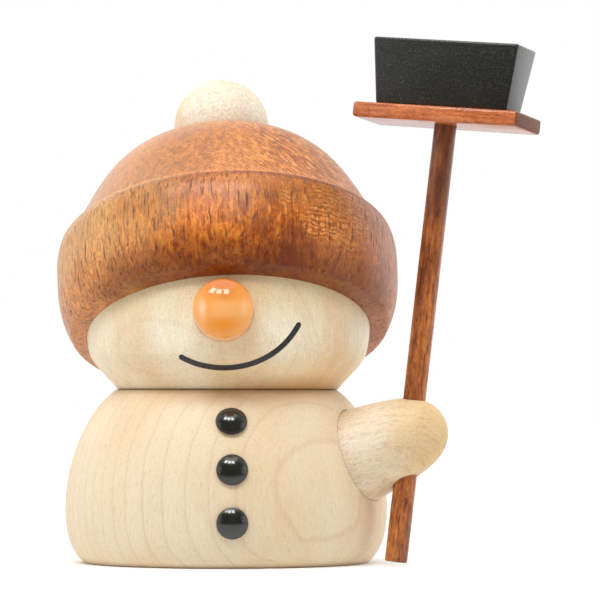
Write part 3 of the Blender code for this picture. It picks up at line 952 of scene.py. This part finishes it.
def make_floor():
    """A pale table that brightens to white away from the figure, less so in reflections."""
    bm = bmesh.new()
    bmesh.ops.create_grid(bm, x_segments=8, y_segments=8, size=3.0)
    floor = add_object("floor", bm, Matrix.Translation((0, 0, cad_box[0].z - 0.02 * MM)))
    s = Shader("pale_table", Matrix.Identity(4))
    far = s.span(s.distance(s.x, s.y), 20.0, 36.0)
    grain = s.noise(0.5, 0.5, 0.5, detail=3.0)
    colour = s.mix(s.times(grain, 0.03), (0.93, 0.93, 0.92, 1.0), (0.86, 0.86, 0.86, 1.0))
    colour = s.mix(far, colour, (0.0, 0.0, 0.0, 1.0))
    glossy = s.tree.nodes.new("ShaderNodeLightPath").outputs["Is Glossy Ray"]
    in_front = s.times(s.span(s.y, -26.0, -110.0, 0.0, 0.9), glossy)
    glow = s.times(far, s.math("SUBTRACT", 1.0, in_front))
    s.surface.inputs["Emission Color"].default_value = (1.0, 1.0, 1.0, 1.0)
    s.tree.links.new(glow, s.surface.inputs["Emission Strength"])
    floor.data.materials.append(s.finish(colour, s.span(grain, 0.3, 0.7, 0.55, 0.65), specular=0.1))


def area(name, direction, distance, size, radiance, glossy=True, diffuse=True):
    """A white softbox aimed at the figure; direction is (azimuth, elevation) in degrees."""
    azimuth, elevation = (radians(a) for a in direction)
    toward = Vector((sin(azimuth) * cos(elevation), -cos(azimuth) * cos(elevation), sin(elevation)))
    light = bpy.data.lights.new(name, "AREA")
    light.shape = "RECTANGLE"
    light.size, light.size_y = size
    light.energy = radiance * pi * size[0] * size[1]
    obj = bpy.data.objects.new(name, light)
    bpy.context.scene.collection.objects.link(obj)
    obj.location = AIM + toward * distance
    obj.rotation_mode = "QUATERNION"
    obj.rotation_quaternion = toward.to_track_quat("Z", "Y")
    obj.visible_glossy, obj.visible_diffuse = glossy, diffuse
    obj.visible_camera = False


ROOM_FROM, BACKDROP_FROM = -0.55, 0.35  # the direction's y at which each brightness is reached
ROOM, BACKDROP = 0.12, 0.95


def make_world():
    """White where the camera looks; elsewhere a bright backdrop and a dim room in front."""
    world = bpy.data.worlds.new("studio")
    world.use_nodes = True
    bpy.context.scene.world = world
    tree = world.node_tree
    background = tree.nodes["Background"]
    coords = tree.nodes.new("ShaderNodeTexCoord")
    split = tree.nodes.new("ShaderNodeSeparateXYZ")
    tree.links.new(coords.outputs["Generated"], split.inputs[0])
    room = tree.nodes.new("ShaderNodeMapRange")
    room.interpolation_type = "SMOOTHSTEP"
    for index, value in enumerate((ROOM_FROM, BACKDROP_FROM, ROOM, BACKDROP), 1):
        room.inputs[index].default_value = value
    tree.links.new(split.outputs[1], room.inputs[0])
    path = tree.nodes.new("ShaderNodeLightPath")
    seen = tree.nodes.new("ShaderNodeMath")
    seen.operation = "MAXIMUM"
    tree.links.new(path.outputs["Is Camera Ray"], seen.inputs[0])
    tree.links.new(room.outputs[0], seen.inputs[1])
    tree.links.new(seen.outputs[0], background.inputs["Strength"])
    background.inputs["Color"].default_value = (1.0, 1.0, 1.0, 1.0)


make_floor()
make_world()
for side, azimuth in (("left", -44), ("middle", -16), ("right", 12)):
    area("key_" + side, (azimuth, 54), 0.62, (0.13, 0.15), 12.0, glossy=False)
    area("window_" + side, (azimuth, 55), 0.56, (0.11, 0.13), 13.0, diffuse=False)
area("left_fill", (-66, 22), 0.8, (0.5, 0.6), 1.35, glossy=False)
area("right_fill", (66, 22), 0.9, (0.5, 0.5), 1.8, glossy=False)
area("left_strip", (-72, 0), 0.6, (0.4, 0.6), 0.6, diffuse=False)
area("right_strip", (72, 0), 0.6, (0.4, 0.6), 0.6, diffuse=False)
area("left_back", (-145, 35), 0.7, (0.6, 0.6), 0.5, diffuse=False)
area("right_back", (130, 10), 0.7, (0.5, 0.5), 0.7, diffuse=False)
area("top", (0, 84), 0.7, (0.6, 0.5), 1.3)

camera = bpy.data.cameras.new("camera")
camera.lens, camera.sensor_width = 210.0, 36.0
camera.clip_start = 0.01
camera_object = bpy.data.objects.new("camera", camera)
bpy.context.scene.collection.objects.link(camera_object)
camera_object.location = CAMERA_AT
camera_object.rotation_euler = (pi / 2 + CAMERA_PITCH, 0.0, 0.0)
bpy.context.scene.camera = camera_object
bpy.context.scene.view_settings.view_transform = "Standard"
